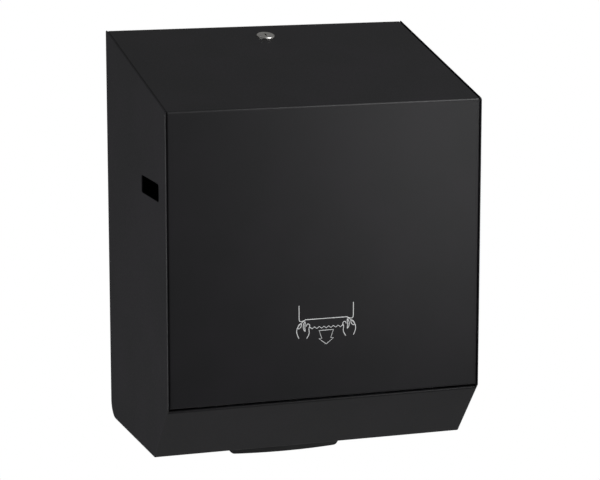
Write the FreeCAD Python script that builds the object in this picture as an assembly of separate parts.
import FreeCAD
import Part
import math
import os

# Wall cabinet that feeds, cuts and hands out towels from one large roll of paper.
#
# X runs across the cabinet, Y runs into the wall (the wall is Y = 0) and Z runs up. All sizes are in
# millimetres. Heights are counted from the cabinet's bottom while the pieces are drawn. When a piece
# is written out it is lowered, so that the origin is the centre of the four wall fixings, on the wall.

# Casing
WIDTH = 330.0
DEPTH = 230.0
BACK_HEIGHT = 415.0
FRONT_HEIGHT = 358.0
KNEE_HEIGHT = 62.0  # the door ends and the skirt starts
SKIRT_SETBACK = 53.0  # how far the skirt slopes back on its way down
SHEET = 1.2
REAR_BEND = 18.0
EDGE_BEND = 2.0
EDGE_ROUND = 0.8
SKIRT_RETURN = 7.0
SKIRT_RETURN_DROP = 2.0  # so that the door's lower edge swings clear
BACK_DROP = 4.0  # the back stops this far under the top

# Viewing slot in the left side
SLOT_LENGTH = 65.0
SLOT_HEIGHT = 18.0
SLOT_BOTTOM = 265.5
SLOT_FROM_FRONT = 25.6
SLOT_CORNER = 3.0

# Wall fixings
WALL_HOLE_INSET = 35.0  # from the side of the casing
WALL_HOLE_LOW = 165.0
WALL_HOLE_DROP = 50.0  # from the top of the casing
WALL_HOLE_RADIUS = 3.5

# Door
DOOR_SIDE_GAP = 0.6
DOOR_SETBACK = 0.6  # behind the edges of the side panels
DOOR_BOTTOM_GAP = 0.5
DOOR_REAR_GAP = 2.0
DOOR_FLANGE = 14.0
DOOR_BEND = 3.5
DOOR_EDGE_ROUND = 1.5

# Door hinge
HINGE_FROM_FRONT = 8.0
HINGE_RISE = 12.0  # above the knee
HINGE_PIN_RADIUS = 2.5
HINGE_FIT = 0.06
HINGE_PIN_TIP = 1.9  # past the clip
CLIP_RADIUS = 4.5
CLIP_THICKNESS = 1.0
CLIP_GAP = 0.5  # to the door's flange

# Lock, drawn upright round its own axis and then laid on the sloping top
LOCK_FROM_WALL = 33.0
LOCK_FACE_RIM = 1.5  # past the body
LOCK_FACE_THICKNESS = 1.6
LOCK_FACE_CHAMFER = 0.6
LOCK_BODY_RADIUS = 8.0
LOCK_BODY_LENGTH = 20.0
LOCK_BODY_WALL = 2.0
LOCK_FIT = 0.05
LOCK_SHOULDER_SETBACK = 0.5  # inside the body's radius
LOCK_SHOULDER_END = 23.5
LOCK_NUT_WALL = 2.0  # at the middle of a flat
LOCK_NUT_THICKNESS = 4.0
LOCK_CAM_LENGTH = 20.0
LOCK_CAM_WIDTH = 12.0
LOCK_CAM_THICKNESS = 2.0
LOCK_SQUARE = 6.0
CAM_SCREW_RADIUS = 1.9
CAM_SCREW_HEAD = 4.5
CAM_SCREW_HEAD_HEIGHT = 2.2
CAM_SCREW_DEPTH = 6.0
KEYHOLE_LENGTH = 7.0
KEYHOLE_WIDTH = 1.6
KEYHOLE_DEPTH = 8.0

# Lock catch on the back panel
CATCH_HALF_WIDTH = 15.0
CATCH_THICKNESS = 2.0
CATCH_REACH = 17.0
CATCH_LEG_DROP = 47.0  # foot of the leg, from the top of the casing
CATCH_CAM_GAP = 0.8
CATCH_RIVET_X = 9.0
CATCH_RIVET_DROP = 40.0
RIVET_RADIUS = 1.6
RIVET_HEAD = 3.4
RIVET_HEAD_HEIGHT = 1.4

# Screws of the feed unit and the roll bracket
HEAD_SIDES = 6
SCREW_RADIUS = 2.0
SCREW_HEAD = 3.5  # half the width across the flats, as for every screw here
SCREW_HEAD_HEIGHT = 2.2

# Feed unit: two frame plates that carry everything that turns
FRAME_INSET = 45.0  # from the side of the casing to the inside of a frame plate
FRAME_WEB = 3.0
FRAME_RIM = 3.0
REAR_PLATE = 4.0
REAR_PLATE_LOW = 24.0
REAR_PLATE_HIGH = 138.0
REAR_WINDOW_RIM = 26.0
REAR_WINDOW_INNER = 10.0
REAR_WINDOW_OUTER = 70.0
FRAME_BOTTOM = 8.0
FRAME_OVER_GUIDE = 18.0
FRAME_PAST_ROD = 15.0
FRAME_FRONT_BELOW = 22.0  # foot of the frame plates' front edge, below the drum's axis
FRAME_FRONT_ABOVE = 12.0
FRAME_SHOULDER_IN = 6.0  # corners above and below the front edge, inside the guide's radius
FRAME_ROUNDS = (14.0, 4.0, 12.0, 30.0, 26.0, 4.0)
UNIT_SCREW_INSET = 25.0
UNIT_SCREW_LOW = 36.0
UNIT_SCREW_HIGH = 126.0
TIE_ROD_RADIUS = 4.0
TIE_ROD_GUIDE_GAP = 8.0
FRONT_ROD_DROP = 10.0  # below the drum's axis
REAR_ROD_FROM_WALL = 30.0
REAR_ROD_ABOVE = 46.0  # above the drum's axis
REAR_ROD_BELOW = 42.0
TIE_SCREW_RADIUS = 2.0
TIE_SCREW_DEPTH = 12.0
TIE_SCREW_HEAD = 3.5
TIE_SCREW_HEAD_HEIGHT = 2.4

# Drum
DRUM_FROM_FRONT = 108.0
DRUM_CLEARANCE = 30.4  # grip bands to the bottom of the casing
DRUM_RADIUS = 40.0
DRUM_WALL = 2.5
DRUM_END_GAP = 10.0  # outside of an end cap to the frame plate
CAP_THICKNESS = 3.0
CAP_HUB_RADIUS = 10.0
CAP_HUB_OUTER_GAP = 2.5  # hub face to the frame plate
DRUM_SHAFT_RADIUS = 6.0
SEAT_FIT = 0.02
RUNNING_FIT = 0.05
SLOT_ANGLE = 20.0  # direction of the knife slot at rest, turned up from +Y
CUT_ANGLE = 200.0  # direction in which the knife comes out
SLOT_HALF = 3.0
GRIP_THICKNESS = 1.6
GRIP_WIDTH = 24.0
GRIP_PARTING = 0.2
GRIP_COUNT = 4
GRIP_END_INSET = 23.0  # middle of the outer band to the end cap
BOSS_RADIUS = 4.0
BOSS_SINK = 1.0  # how deep the shell's skin covers a boss
BOSS_LENGTH = 18.0
DRUM_SCREW_RADIUS = 1.6
DRUM_SCREW_HEAD = 2.75
DRUM_SCREW_HEAD_HEIGHT = 1.6
DRUM_SCREW_DEPTH = 12.0

# Knife; s runs out along the slot from the drum's axis and t runs across it
KNIFE_TRAVEL = 9.0
CARRIER_END_GAP = 4.0  # to the end cap
CARRIER_BACK = 12.0
CARRIER_STEP = 16.0
CARRIER_FRONT = 28.0
CARRIER_HALF_HEIGHT = 4.0
BLADE_THICKNESS = 1.0
BLADE_INSET = 6.0  # from the end of the carrier
BLADE_SIDE_GAP = 1.5
BLADE_BACK = 20.0
BLADE_DEPTH = 2.7  # tips below the drum's surface at rest
TOOTH_PITCH = 8.0
TOOTH_HEIGHT = 3.0
KNIFE_SCREW_INSET = 37.0  # from the end of the blade
KNIFE_SCREW_RADIUS = 1.5
KNIFE_SCREW_HEAD = 2.5
KNIFE_SCREW_HEAD_HEIGHT = 1.6
SLIDER_BACK = 14.0
SLIDER_FRONT = 26.0
SLIDER_PLAY = 0.2
FOLLOWER_AT = 20.0
FOLLOWER_STEP = 1.0  # sliders past the end caps
FOLLOWER_CAM_GAP = 0.5
FOLLOWER_RADIUS = 4.5
CAM_ROUND_RADIUS = 15.8
CAM_NOSE_RADIUS = 6.0
CAM_NOSE_AT = 18.8
CAM_THICKNESS = 2.5

# Bearing bushes of the drum
BUSH_RADIUS = 9.0
BUSH_FLANGE_RADIUS = 11.0
BUSH_FLANGE = 2.0
BUSH_LENGTH = 7.0
BUSH_CAM_GAP = 0.2

# Crank and hand wheel
CRANK_NEAR = 16.0  # inner face of the crank, from the frame plate
CRANK_THICKNESS = 4.0
CRANK_THROW = 20.0
CRANK_HUB_RADIUS = 11.0
CRANK_TIP_RADIUS = 6.0
CRANK_PIN_RADIUS = 3.0
CRANK_PIN_LENGTH = 12.0
CRANK_PIN_HEAD = 4.5
CRANK_PIN_HEAD_HEIGHT = 1.2
SPRING_POST_Y = -40.0
SPRING_POST_HEIGHT = 120.0
WHEEL_RADIUS = 27.0
WHEEL_THICKNESS = 14.0
WHEEL_NEAR = 8.0
WHEEL_SCALLOPS = 12
WHEEL_SCALLOP_RADIUS = 4.0
WHEEL_POCKET_DEPTH = 8.0
WHEEL_POCKET_INNER = 10.0
WHEEL_POCKET_OUTER = 20.0

# Paper guide in front of the drum, and stripper comb at the outlet
GUIDE_GAP = 12.0  # from the drum's surface
GUIDE_THICKNESS = 2.0
GUIDE_REAR_REACH = 2.0
GUIDE_STRAIGHT_DROP = 27.0
GUIDE_FOOT_IN = 7.0
GUIDE_FOOT = 4.0
COMB_THICKNESS = 2.5
COMB_FOOT = 3.0
COMB_REAR = 10.0
COMB_FRONT = -30.0
COMB_BEND = 4.0
COMB_DRUM_GAP = 7.15  # comb's top edge to the grip bands
COMB_TOP_ANGLE = 244.5  # seen from the drum's axis
COMB_FINGER_WIDTH = 6.0
COMB_FINGER = ((-3.0, -10.0), (2.0, -14.0), (7.0, 0.0), (2.5, 5.0))  # side view, from the comb's top edge
COMB_FINGER_ENDS = 7  # fingers each side of the middle, those over a band left out

# Pinch roller over the drum, in bearing blocks that can lift
PINCH_ANGLE = 55.0
PINCH_GAP = 0.3
PINCH_RADIUS = 11.0
PINCH_SHAFT_RADIUS = 3.0
PINCH_SLEEVE_HALF = 12.0
PINCH_TRAVEL = 3.0
BLOCK_HALF_WIDTH = 6.0
BLOCK_HALF_LENGTH = 7.0
BLOCK_PLAY = 0.2
BLOCK_FLANGE = 2.3
BLOCK_LIP = 2.0
PINCH_SPRING_SOLID = 6.5  # length of the spring with the roller lifted all the way
PINCH_SPRING_RADIUS = 2.8

# Feed lever and its drive
LEVER_DRUM_GAP = 7.4  # lever's hub to the grip bands
PRESSURE_ANGLE = math.radians(20.0)
BACKLASH = 0.2
SECTOR_TEETH = 56
PINION_TEETH = 18
LEVER_ANGLE = 113.3  # direction from the lever's axis to the drum's axis
SECTOR_FIRST = -5
SECTOR_LAST = 2
GEAR_NEAR = 7.0  # inner face of the pinion, from the frame plate
PINION_WIDTH = 7.0
SECTOR_WIDTH = 6.0
SECTOR_HUB_RADIUS = 9.0
LEVER_WIDTH = 122.0
LEVER_HANG = 28.0  # below the casing
LEVER_THICKNESS = 3.0
LEVER_CURVE = 281.0  # radius of the curve that the lever shows in plan
LEVER_CORNER = 6.0
OUTLET_FRONT_LIP = 5.0
OUTLET_REAR = 40.0  # behind the lever's axis
OUTLET_CORNER = 6.0
LEVER_FACE_OFFSET = -0.5
LEVER_HUB_RADIUS = 6.5
LEVER_SHAFT_RADIUS = 4.0
LEVER_RIB_PLACES = (-36.0, 0.0, 36.0)
LEVER_RIB_THICKNESS = 2.0
LEVER_RIB_DEPTH = 5.0
RETURN_ARM_NEAR = 8.0
RETURN_ARM_THICKNESS = 3.0
RETURN_ARM_TIP = (20.0, 14.0)
RETURN_ARM_TIP_RADIUS = 5.0
RETURN_PEG_RADIUS = 2.5
RETURN_PEG_LENGTH = 4.0
RETURN_POST_Y = -30.0
RETURN_POST_HEIGHT = 60.0
POST_RADIUS = 3.0

# Springs
SPRING_LOOP = 1.6
SPRING_LOOP_GAP = 0.1
CRANK_COIL_RADIUS = 4.0
RETURN_COIL_RADIUS = 3.0
KNIFE_COIL_RADIUS = 3.0
KNIFE_SPRING_INSET = 13.0  # from the end of the carrier

# Roll holder
ROLL_DROP = 86.0  # roll axis below the front top edge
ROLL_FROM_WALL = 115.0
BRACKET_HALF_HEIGHT = 22.0
BRACKET_THICKNESS = 2.0
ARM_GAP = 9.0  # outside of an arm to the plane of the frame plates
ARM_THICKNESS = 2.5
ARM_TIP_RADIUS = 15.0
ARM_ROOT_HALF = 18.0
EAR_DEPTH = 32.0
EAR_RIVET_AT = 18.0  # from the wall
ARM_ROOT_ROUND = 2.0
ARM_TIP_FLAT = 1.0
ARM_WINDOW_TIP = (3.0, 8.0)  # gap to the tip's round, half height
ARM_WINDOW_ROOT = (12.0, 9.0)  # gap to the ear, half height
ARM_WINDOW_ROUND = 5.0
ARM_HINGE_CLEAR = 2.0
ARM_PIVOT_FROM_WALL = 14.0
KNUCKLE_RADIUS = 4.5
KNUCKLE_WEB = 3.0
ARM_PIN_RADIUS = 2.2
ARM_KNUCKLE_HALF = 9.7
KNUCKLE_GAP = 0.3
ARM_PIN_TOP = 36.0
ARM_COIL_RADIUS = 6.0
ARM_COIL_HEIGHT = 9.0
AXLE_RADIUS = 6.0
AXLE_TAIL_RADIUS = 4.0
AXLE_LENGTH = 19.0
HUB_FIT = 0.08
HUB_ARM_GAP = 0.5
HUB_FLANGE_RADIUS = 24.0
HUB_FLANGE = 2.0
HUB_PLUG_RADIUS = 18.5
HUB_PLUG_LENGTH = 20.0
HUB_NOSE_CHAMFER = 3.0
BRACKET_SCREW_X = 60.0
BRACKET_SCREW_OFFSET = 12.0

# Worked out from the sizes above
HALF = WIDTH / 2
INSIDE = HALF - SHEET
SLOPE = (BACK_HEIGHT - FRONT_HEIGHT) / DEPTH
SLOPE_ANGLE = math.degrees(math.atan(SLOPE))
SKIRT_Y = SKIRT_SETBACK - DEPTH
WALL_HOLE_X = HALF - WALL_HOLE_INSET
WALL_HOLE_HIGH = BACK_HEIGHT - WALL_HOLE_DROP
DATUM = (WALL_HOLE_LOW + WALL_HOLE_HIGH) / 2
DOOR_FRONT = DOOR_SETBACK - DEPTH
DOOR_BOTTOM = KNEE_HEIGHT + DOOR_BOTTOM_GAP
DOOR_HALF = INSIDE - DOOR_SIDE_GAP
CLIP_FROM_SIDE = DOOR_SIDE_GAP + SHEET + CLIP_GAP
HINGE_PIN_LENGTH = CLIP_FROM_SIDE + CLIP_THICKNESS + HINGE_PIN_TIP
HINGE_Y = HINGE_FROM_FRONT - DEPTH
HINGE_HEIGHT = KNEE_HEIGHT + HINGE_RISE
LOCK_FACE_RADIUS = LOCK_BODY_RADIUS + LOCK_FACE_RIM
LOCK_BORE = LOCK_BODY_RADIUS - LOCK_BODY_WALL
LOCK_SHOULDER_RADIUS = LOCK_BODY_RADIUS - LOCK_SHOULDER_SETBACK
LOCK_NUT_FLATS = 2 * (LOCK_BODY_RADIUS + LOCK_NUT_WALL)
FRAME_X = HALF - FRAME_INSET
FRAME_OUT = FRAME_X + FRAME_WEB + FRAME_RIM
DRUM_Y = DRUM_FROM_FRONT - DEPTH
CAP_OUT = FRAME_X - DRUM_END_GAP
CAP_IN = CAP_OUT - CAP_THICKNESS
GRIP_RADIUS = DRUM_RADIUS + GRIP_THICKNESS
GRIP_PITCH = 2 * (CAP_IN - GRIP_END_INSET) / (GRIP_COUNT - 1)
GRIP_PLACES = [(index - (GRIP_COUNT - 1) / 2) * GRIP_PITCH for index in range(GRIP_COUNT)]
DRUM_HEIGHT = DRUM_CLEARANCE + GRIP_RADIUS
BOSS_OFFSET = DRUM_RADIUS - BOSS_RADIUS - BOSS_SINK
GUIDE_RADIUS = DRUM_RADIUS + GUIDE_GAP
FRONT_ROD_REACH = GUIDE_RADIUS + GUIDE_THICKNESS + TIE_ROD_GUIDE_GAP + TIE_ROD_RADIUS
CARRIER_HALF = CAP_IN - CARRIER_END_GAP
BLADE_HALF = CARRIER_HALF - BLADE_INSET
BLADE_TIP = DRUM_RADIUS - BLADE_DEPTH
KNIFE_SCREW_X = BLADE_HALF - KNIFE_SCREW_INSET
KNIFE_SPRING_X = CARRIER_HALF - KNIFE_SPRING_INSET
PINCH_SPRING_LENGTH = PINCH_SPRING_SOLID + PINCH_TRAVEL
LEVER_FROM_DRUM = GRIP_RADIUS + LEVER_DRUM_GAP + LEVER_HUB_RADIUS
MODULE = 2 * LEVER_FROM_DRUM / (PINION_TEETH + SECTOR_TEETH)
PINION_PITCH = PINION_TEETH * MODULE / 2
SECTOR_PITCH = SECTOR_TEETH * MODULE / 2
ARM_OUT = FRAME_X - ARM_GAP
ARM_IN = ARM_OUT - ARM_THICKNESS
ROLL_Y = -ROLL_FROM_WALL
ROLL_HEIGHT = FRONT_HEIGHT - ROLL_DROP
ARM_PIVOT_Y = -ARM_PIVOT_FROM_WALL
ARM_PIVOT_X = ARM_OUT + BRACKET_THICKNESS

SIDES = (-1, 1)
PIERCE = 1.0  # how far a cutting shape runs past what it cuts
TOUCH = 1e-6


def vec(x, y, z):
    return FreeCAD.Vector(x, y, z)


def roof(y):
    """Height of the top edge of the side panels."""
    return BACK_HEIGHT + SLOPE * y


def door_roof(y):
    """Height of the door's sloping top."""
    return roof(y) - DOOR_SETBACK


def polar(y, z, radius, angle):
    """Point at a radius and an angle round (y, z); the angle turns up from +Y, in degrees."""
    turn = math.radians(angle)
    return y + radius * math.cos(turn), z + radius * math.sin(turn)


LEVER_Y, LEVER_HEIGHT = polar(DRUM_Y, DRUM_HEIGHT, -LEVER_FROM_DRUM, LEVER_ANGLE)
PINCH_Y, PINCH_HEIGHT = polar(DRUM_Y, DRUM_HEIGHT, GRIP_RADIUS + PINCH_RADIUS + PINCH_GAP, PINCH_ANGLE)
CRANK_ANGLE = math.degrees(math.atan2(SPRING_POST_HEIGHT - DRUM_HEIGHT, SPRING_POST_Y - DRUM_Y))
CRANK_PIN_Y, CRANK_PIN_HEIGHT = polar(DRUM_Y, DRUM_HEIGHT, CRANK_THROW, CRANK_ANGLE)


def block(x0, x1, y0, y1, z0, z1):
    """Box between two planes each way. The two X values may come in either order."""
    low, high = sorted((x0, x1))
    return Part.makeBox(high - low, y1 - y0, z1 - z0, vec(low, y0, z0))


def rod(x0, x1, y, z, radius):
    """Round bar along X."""
    low, high = sorted((x0, x1))
    return Part.makeCylinder(radius, high - low, vec(low, y, z), vec(1, 0, 0))


def rod_y(x, y0, y1, z, radius):
    """Round bar along Y."""
    return Part.makeCylinder(radius, y1 - y0, vec(x, y0, z), vec(0, 1, 0))


def rod_z(x, y, z0, z1, radius):
    """Round bar along Z."""
    return Part.makeCylinder(radius, z1 - z0, vec(x, y, z0))


def ring(x0, x1, y, z, outer, inner):
    """Washer or tube along X."""
    return rod(x0, x1, y, z, outer).cut(rod(x0, x1, y, z, inner))


def corner_arc(before, here, after, radius):
    """Where a rounded corner starts, its middle and where it ends."""
    first = (before - here).normalize()
    second = (after - here).normalize()
    half = first.getAngle(second) / 2
    reach = radius / math.tan(half)
    middle = (first + second).normalize() * (radius / math.sin(half) - radius)
    return here + first * reach, here + middle, here + second * reach


def outline(corners, x):
    """Closed outline in the plane at x. A corner is (y, z), or (y, z, radius) where it is round."""
    points = [vec(x, corner[0], corner[1]) for corner in corners]
    bends = []
    for index, corner in enumerate(corners):
        radius = corner[2] if len(corner) > 2 else 0
        here = points[index]
        following = points[(index + 1) % len(points)]
        sharp = (here, here, here)
        bends.append(corner_arc(points[index - 1], here, following, radius) if radius > 0 else sharp)
    edges = []
    for index, (start, middle, end) in enumerate(bends):
        if start.distanceToPoint(end) > TOUCH:
            edges.append(Part.Arc(start, middle, end).toShape())
        following = bends[(index + 1) % len(bends)][0]
        if end.distanceToPoint(following) > TOUCH:
            edges.append(Part.LineSegment(end, following).toShape())
    return Part.Wire(edges)


def plate(corners, x0, x1):
    """Flat plate across X with the given side view."""
    low, high = sorted((x0, x1))
    return Part.Face(outline(corners, low)).extrude(vec(high - low, 0, 0))


def facing_plate(corners, y0, y1):
    """Flat plate across Y with a front view given as (x, z) corners."""
    shape = plate(corners, -y1, -y0)
    shape.rotate(vec(0, 0, 0), vec(0, 0, 1), -90)
    return shape


def heading(start, end):
    """Direction from one path point to the next."""
    length = math.hypot(end[0] - start[0], end[1] - start[1])
    return (end[0] - start[0]) / length, (end[1] - start[1]) / length


def offset_path(path, distance):
    """The path moved to its right, with its bends turned round the same centres."""
    moved = []
    for index, point in enumerate(path):
        arriving = heading(path[max(index - 1, 0)], path[max(index, 1)])
        leaving = heading(point, path[index + 1]) if index + 1 < len(path) else arriving
        share = distance / (1 + arriving[0] * leaving[0] + arriving[1] * leaving[1])
        y = point[0] + share * (arriving[1] + leaving[1])
        z = point[1] - share * (arriving[0] + leaving[0])
        turn = arriving[0] * leaving[1] - arriving[1] * leaving[0]
        radius = point[2] if len(point) > 2 else 0
        bent = radius - distance if turn < 0 else radius + distance
        moved.append((y, z, max(bent, 0) if radius > 0 else 0))
    return moved


def folded_sheet(path, thickness, x0, x1):
    """Sheet that follows a path of (y, z) or (y, z, bend radius), with its thickness to the right."""
    return plate(list(path) + offset_path(path, thickness)[::-1], x0, x1)


def link_plate(first, second, x0, x1):
    """Plate round two bosses (y, z, radius), closed by their two tangent lines."""
    away = math.degrees(math.atan2(second[1] - first[1], second[0] - first[0]))
    distance = math.hypot(second[0] - first[0], second[1] - first[1])
    lean = math.degrees(math.acos((first[2] - second[2]) / distance))
    low = min(x0, x1)
    spots = []
    for boss, angles in ((first, (lean, 180, -lean)), (second, (-lean, 0, lean))):
        spots.append([vec(low, *polar(*boss, away + angle)) for angle in angles])
    edges = [Part.Arc(*spots[0]), Part.LineSegment(spots[0][2], spots[1][0])]
    edges += [Part.Arc(*spots[1]), Part.LineSegment(spots[1][2], spots[0][0])]
    face = Part.Face(Part.Wire([edge.toShape() for edge in edges]))
    return face.extrude(vec(abs(x1 - x0), 0, 0))


def upright_edges(shape):
    """The straight edges that run along Z."""
    found = []
    for edge in shape.Edges:
        span = edge.BoundBox
        if span.ZLength > TOUCH and span.XLength < TOUCH and span.YLength < TOUCH:
            found.append(edge)
    return found


def screw(top, tip, head, radius):
    """Hexagon-head screw between two points; the head is given as (height, half width across flats)."""
    along = (tip - top).normalize()
    corners = []
    across = vec(0, 0, 1).cross(along) if abs(along.z) < TOUCH else vec(1, 0, 0)
    for index in range(HEAD_SIDES + 1):
        turn = FreeCAD.Rotation(along, 360 * index / HEAD_SIDES)
        corners.append(top + turn.multVec(across) * (head[1] / math.cos(math.pi / HEAD_SIDES)))
    cap = Part.Face(Part.makePolygon(corners)).extrude(along * head[0])
    length = (tip - top).Length - PIERCE
    shank = Part.makeCylinder(radius, length, top + along * PIERCE, along)
    return cap.fuse(shank).removeSplitter()


def wall_screw(x, height, seat, end):
    """Screw driven into the wall side: head on the seat, shank to the end."""
    top = vec(x, seat - SCREW_HEAD_HEIGHT, height)
    return screw(top, vec(x, end, height), (SCREW_HEAD_HEIGHT, SCREW_HEAD), SCREW_RADIUS)


def turned(shape, angle, y, z):
    """A piece drawn round the X axis with +Y as its own direction, turned up and moved to (y, z)."""
    shape.rotate(vec(0, 0, 0), vec(1, 0, 0), angle)
    shape.translate(vec(0, y, z))
    return shape


def on_drum(shape):
    """A piece drawn with +Y along the knife slot, put in its place on the drum."""
    return turned(shape, SLOT_ANGLE, DRUM_Y, DRUM_HEIGHT)


def on_door_top(shape):
    """A piece drawn upright round the Z axis, put in its place in the lock hole."""
    return turned(shape, SLOPE_ANGLE, -LOCK_FROM_WALL, door_roof(-LOCK_FROM_WALL))


# Casing


def back_and_skirt():
    """Back, bottom and skirt, folded from one sheet."""
    path = [
        (0, BACK_HEIGHT - BACK_DROP),
        (0, 0, REAR_BEND),
        (SKIRT_Y, 0, EDGE_BEND),
        (-DEPTH, KNEE_HEIGHT, EDGE_BEND),
        (SKIRT_RETURN - DEPTH, KNEE_HEIGHT - SKIRT_RETURN_DROP),
    ]
    panel = folded_sheet(path, SHEET, -INSIDE, INSIDE)
    front = SKIRT_Y + OUTLET_FRONT_LIP
    rear = LEVER_Y + OUTLET_REAR
    outlet = block(-FRAME_X - PIERCE, FRAME_X + PIERCE, front, rear, -PIERCE, 2 * SHEET)
    cuts = [outlet.makeFillet(OUTLET_CORNER, upright_edges(outlet))]
    holes = []
    for side in SIDES:
        holes.append((side * WALL_HOLE_X, WALL_HOLE_LOW, WALL_HOLE_RADIUS))
        holes.append((side * WALL_HOLE_X, WALL_HOLE_HIGH, WALL_HOLE_RADIUS))
        holes.append((side * (FRAME_X - UNIT_SCREW_INSET), UNIT_SCREW_LOW, SCREW_RADIUS))
        holes.append((side * (FRAME_X - UNIT_SCREW_INSET), UNIT_SCREW_HIGH, SCREW_RADIUS))
        holes.append((side * BRACKET_SCREW_X, ROLL_HEIGHT - BRACKET_SCREW_OFFSET, SCREW_RADIUS))
        holes.append((side * BRACKET_SCREW_X, ROLL_HEIGHT + BRACKET_SCREW_OFFSET, SCREW_RADIUS))
        holes.append((side * CATCH_RIVET_X, BACK_HEIGHT - CATCH_RIVET_DROP, RIVET_RADIUS))
    for x, height, radius in holes:
        cuts.append(rod_y(x, -SHEET - PIERCE, PIERCE, height, radius))
    return panel.cut(cuts)


def side_panel(side):
    """Flat side panel with its outer edges rounded."""
    corners = [
        (-DEPTH, FRONT_HEIGHT, DOOR_BEND),
        (0, BACK_HEIGHT, EDGE_BEND),
        (0, 0, REAR_BEND),
        (SKIRT_Y, 0, EDGE_BEND),
        (-DEPTH, KNEE_HEIGHT, EDGE_BEND),
    ]
    panel = plate(corners, side * INSIDE, side * HALF)
    outer_edges = []
    for edge in panel.Edges:
        if abs(abs(edge.BoundBox.XMin) - HALF) < TOUCH and edge.BoundBox.XLength < TOUCH:
            outer_edges.append(edge)
    return panel.makeFillet(EDGE_ROUND, outer_edges)


def left_side():
    """Left side panel with the slot that shows how much paper is left."""
    front = SLOT_FROM_FRONT - DEPTH
    slot_corners = [
        (front, SLOT_BOTTOM, SLOT_CORNER),
        (front + SLOT_LENGTH, SLOT_BOTTOM, SLOT_CORNER),
        (front + SLOT_LENGTH, SLOT_BOTTOM + SLOT_HEIGHT, SLOT_CORNER),
        (front, SLOT_BOTTOM + SLOT_HEIGHT, SLOT_CORNER),
    ]
    return side_panel(-1).cut(plate(slot_corners, -HALF - PIERCE, -INSIDE + PIERCE))


def hinge_pins():
    """Two pins on the side panels that carry the door."""
    pins = []
    for side in SIDES:
        tip = side * (INSIDE - HINGE_PIN_LENGTH)
        pins.append(rod(tip, side * INSIDE, HINGE_Y, HINGE_HEIGHT, HINGE_PIN_RADIUS))
    return Part.makeCompound(pins)


def hinge_clips():
    """Spring clips that keep the door's flanges on the pins."""
    clips = []
    for side in SIDES:
        start = side * (INSIDE - CLIP_FROM_SIDE)
        end = side * (INSIDE - CLIP_FROM_SIDE - CLIP_THICKNESS)
        clips.append(ring(start, end, HINGE_Y, HINGE_HEIGHT, CLIP_RADIUS, HINGE_PIN_RADIUS))
    return Part.makeCompound(clips)


def lock_catch():
    """Bracket on the back whose tongue holds the lock's cam down."""
    cam_top = LOCK_SHOULDER_END - CATCH_CAM_GAP
    drop = cam_top / math.cos(math.radians(SLOPE_ANGLE))
    front = -SHEET - CATCH_THICKNESS
    path = [
        (front, BACK_HEIGHT - CATCH_LEG_DROP),
        (front, door_roof(front) - drop, EDGE_BEND),
        (-CATCH_REACH, door_roof(-CATCH_REACH) - drop),
    ]
    bracket = folded_sheet(path, CATCH_THICKNESS, -CATCH_HALF_WIDTH, CATCH_HALF_WIDTH)
    height = BACK_HEIGHT - CATCH_RIVET_DROP
    cuts = []
    for side in SIDES:
        cuts.append(rod_y(side * CATCH_RIVET_X, front - PIERCE, PIERCE, height, RIVET_RADIUS))
    return bracket.cut(cuts)


def catch_rivets():
    rivets = []
    seat = -SHEET - CATCH_THICKNESS
    height = BACK_HEIGHT - CATCH_RIVET_DROP
    for side in SIDES:
        head = rod_y(side * CATCH_RIVET_X, seat - RIVET_HEAD_HEIGHT, seat, height, RIVET_HEAD)
        shank = rod_y(side * CATCH_RIVET_X, seat - PIERCE, 0, height, RIVET_RADIUS)
        rivets.append(head.fuse(shank).removeSplitter())
    return Part.makeCompound(rivets)


# Door and lock


def door_panel():
    """Front and sloping top in one sheet, with a flange all round and the lock hole."""
    path = [
        (DOOR_FRONT, DOOR_BOTTOM),
        (DOOR_FRONT, door_roof(DOOR_FRONT), DOOR_BEND),
        (-DOOR_REAR_GAP, door_roof(-DOOR_REAR_GAP)),
    ]
    body = folded_sheet(path, DOOR_FLANGE, -DOOR_HALF, DOOR_HALF)
    body = body.cut(block(-HALF, HALF, -DOOR_REAR_GAP, DEPTH, 0, 2 * BACK_HEIGHT))
    body = body.makeFillet(DOOR_EDGE_ROUND, door_outer_edges(body))
    inner = offset_path(path, SHEET)
    inner[0] = (inner[0][0], DOOR_BOTTOM + SHEET)
    hollow = folded_sheet(inner, DOOR_FLANGE, SHEET - DOOR_HALF, DOOR_HALF - SHEET)
    hollow = hollow.cut(block(-HALF, HALF, -DOOR_REAR_GAP - SHEET, DEPTH, 0, 2 * BACK_HEIGHT))
    hinge_bore = rod(-HALF, HALF, HINGE_Y, HINGE_HEIGHT, HINGE_PIN_RADIUS + HINGE_FIT)
    lock_bore = on_door_top(rod_z(0, 0, -LOCK_BODY_LENGTH, PIERCE, LOCK_BODY_RADIUS + LOCK_FIT))
    return body.cut([hollow, hinge_bore, lock_bore])


def door_outer_edges(body):
    """The long edges where the door's outside turns into its side flanges and its bottom flange."""
    found = []
    for edge in body.Edges:
        middle = edge.BoundBox.Center
        behind_front = middle.y - DOOR_FRONT
        under_top = door_roof(middle.y) - middle.z
        on_side = edge.BoundBox.XLength < TOUCH and abs(abs(middle.x) - DOOR_HALF) < TOUCH
        on_bottom = abs(middle.z - DOOR_BOTTOM) < TOUCH and behind_front < TOUCH
        if on_bottom or (on_side and min(behind_front, under_top) < DOOR_BEND / 2):
            found.append(edge)
    return found


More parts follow.
